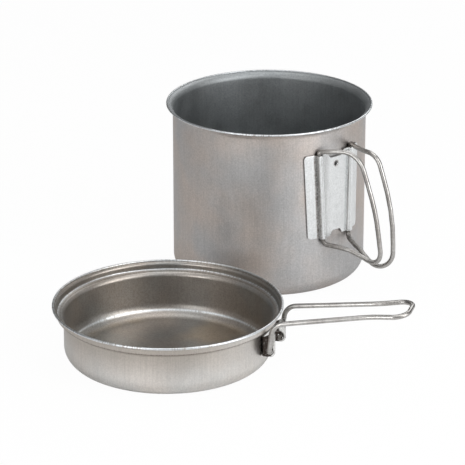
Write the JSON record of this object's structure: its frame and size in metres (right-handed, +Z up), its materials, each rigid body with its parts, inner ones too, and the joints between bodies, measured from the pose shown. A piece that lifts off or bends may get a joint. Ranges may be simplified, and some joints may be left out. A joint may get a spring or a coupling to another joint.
{
  "type": "camp cooking pot set",
  "caption": "Tall flared cooking pot with folding wire loop handles, and a shallow frying pan with a folding wire handle that also fits over the pot as its lid.",
  "frame": {"origin": "centre of the pot's base, on the surface it stands on", "axes": "+Z up along the pot's axis; the pan stands in front, towards -Y, and to the left, towards -X; the pot's handles are on its front right"},
  "size_m": [0.2317, 0.3064, 0.1203],
  "materials": {
    "vessel": "satin bead-blasted titanium",
    "bracket": "bright stamped stainless sheet",
    "wire": "satin stainless wire"
  },
  "bodies": {
    "pot": {"pot_body": "vessel", "pot_bracket": "bracket"},
    "pot_loop_left": {"pot_handle_left": "wire"},
    "pot_loop_right": {"pot_handle_right": "wire"},
    "pan": {"pan_body": "vessel", "pan_bracket": "bracket"},
    "pan_grip": {"pan_handle": "wire"}
  },
  "joints": [
    {"name": "left_loop_fold", "type": "hinge", "parent": "pot", "child": "pot_loop_left", "pos_m": [0.03594, -0.0582, 0.0418], "axis": [0.053, 0.0308, -0.9981], "range_deg": [-3, 137]},
    {"name": "right_loop_fold", "type": "hinge", "parent": "pot", "child": "pot_loop_right", "pos_m": [0.05383, -0.0422, 0.0418], "axis": [0.0109, 0.0142, 0.9998], "range_deg": [0, 117]},
    {"name": "pan_lift", "type": "slide", "parent": "pot", "child": "pan", "axis": [0, 0, 1], "range_m": [0, 0.135]},
    {"name": "pan_handle_fold", "type": "hinge", "parent": "pan", "child": "pan_grip", "pos_m": [0.00214, -0.18069, 0.0172], "axis": [0.279, 0.9603, 0], "range_deg": [-2.5, 189]}
  ]
}
